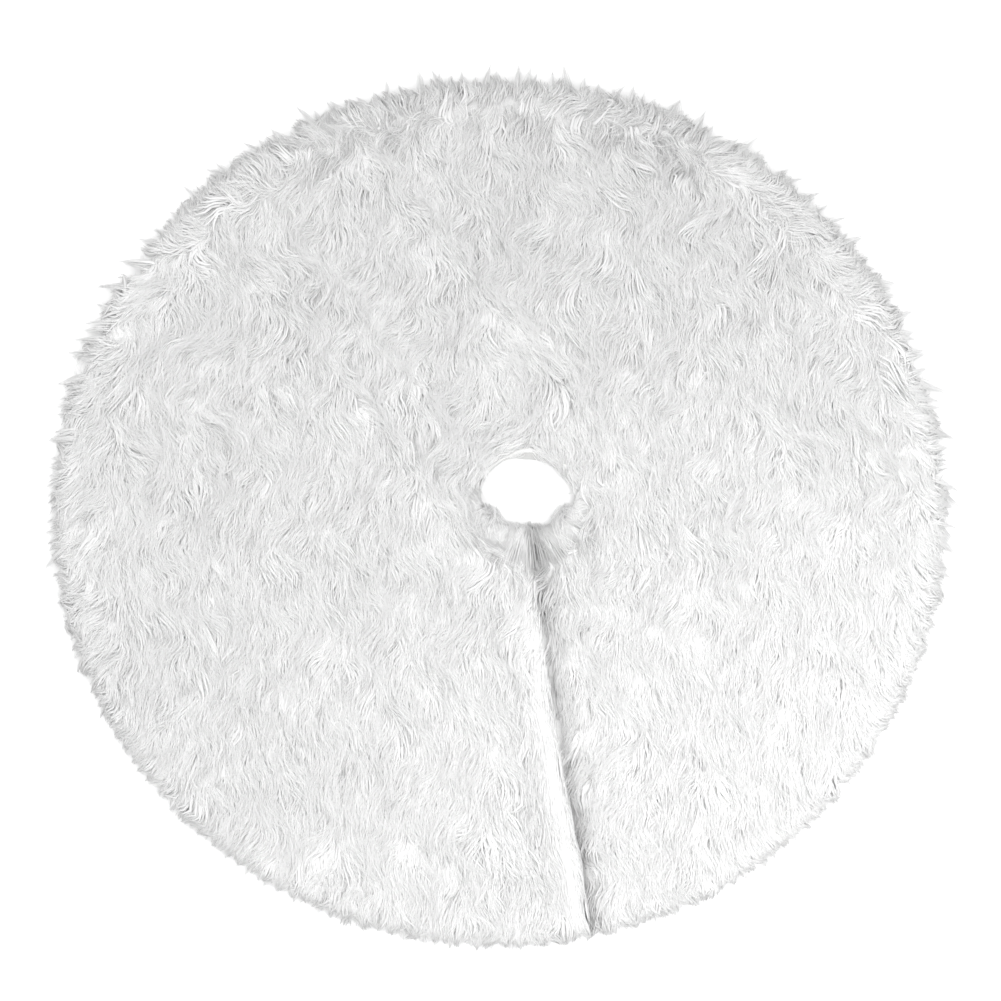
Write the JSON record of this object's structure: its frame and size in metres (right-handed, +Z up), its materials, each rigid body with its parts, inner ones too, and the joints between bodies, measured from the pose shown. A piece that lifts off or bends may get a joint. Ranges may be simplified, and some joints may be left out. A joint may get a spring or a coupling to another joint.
{
  "type": "tree skirt",
  "caption": "Round long-pile plush tree skirt with a trunk hole and a radial slit, closed underneath by hook-and-loop tapes; the slit's edge folds back as a flap.",
  "frame": {"origin": "centre of the trunk hole, on the plane that the skirt lies on", "axes": "+Z up out of the pile, slit along -Y from the hole to the rim, +X to the fixed side of the slit"},
  "size_m": [0.9, 0.9, 0.022],
  "materials": {
    "fur": "matte",
    "lining": "matte",
    "binding": "satin",
    "loop_tape": "matte",
    "hook_tape": "satin",
    "thread": "satin",
    "label": "satin"
  },
  "bodies": {
    "skirt": {"fur_fabric_skirt": "fur", "lining_skirt": "lining", "hole_binding_skirt": "binding", "underlap_placket": "binding", "rim_thread_skirt": "thread", "hole_thread_skirt": "thread", "placket_thread_skirt": "thread", "loop_tape_inner": "loop_tape", "loop_thread_inner": "thread", "loop_tape_middle": "loop_tape", "loop_thread_middle": "thread", "loop_tape_outer": "loop_tape", "loop_thread_outer": "thread"},
    "flap": {"fur_fabric_flap": "fur", "lining_flap": "lining", "hole_binding_flap": "binding", "slit_facing_flap": "binding", "care_label": "label", "rim_thread_flap": "thread", "hole_thread_flap": "thread", "facing_thread_flap": "thread", "label_thread": "thread", "hook_tape_inner": "hook_tape", "hook_tape_middle": "hook_tape", "hook_tape_outer": "hook_tape", "hook_thread_inner": "thread", "hook_thread_middle": "thread", "hook_thread_outer": "thread"}
  },
  "joints": [
    {"name": "flap_fold", "type": "hinge", "parent": "skirt", "child": "flap", "pos_m": [-0.0433, -0.025, 0.022], "axis": [-0.3755, -0.9268, 0], "range_deg": [0, 160]}
  ]
}
